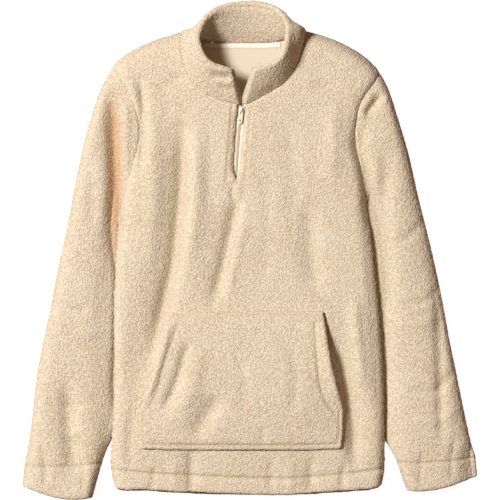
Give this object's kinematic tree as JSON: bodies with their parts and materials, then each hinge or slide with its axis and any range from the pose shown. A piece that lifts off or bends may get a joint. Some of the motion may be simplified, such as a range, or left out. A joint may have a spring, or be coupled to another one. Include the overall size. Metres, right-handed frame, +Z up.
{
  "type": "fleece pullover",
  "caption": "Quarter-zip curly-pile fleece pullover laid flat, with a stand collar, set-in sleeves, turned hems and a kangaroo pocket.",
  "frame": {"origin": "on the surface that the garment lies on, under the middle of its outline", "axes": "+Z up from the surface, +Y from the hem towards the collar, +X towards the wearer's left sleeve"},
  "size_m": [0.727, 0.7966, 0.0681],
  "materials": {
    "fleece": "cream curly-pile sherpa fleece, matte",
    "tape": "pale woven tape, matte",
    "slider_metal": "pale champagne metal, satin"
  },
  "bodies": {
    "garment": {"back": "fleece", "front": "fleece", "sleeve_wearer_left": "fleece", "sleeve_wearer_right": "fleece", "collar": "fleece", "pocket": "fleece", "neck_tape": "tape", "zip_tape_wearer_left": "tape", "zip_tape_wearer_right": "tape", "slider": "slider_metal"},
    "pull_tab": {"pull": "slider_metal"}
  },
  "joints": [
    {"name": "pull_hinge", "type": "hinge", "parent": "garment", "child": "pull_tab", "pos_m": [-0.01332, 0.22223, 0.0278], "axis": [-0.9957, 0.0929, 0], "range_deg": [0, 150]}
  ]
}
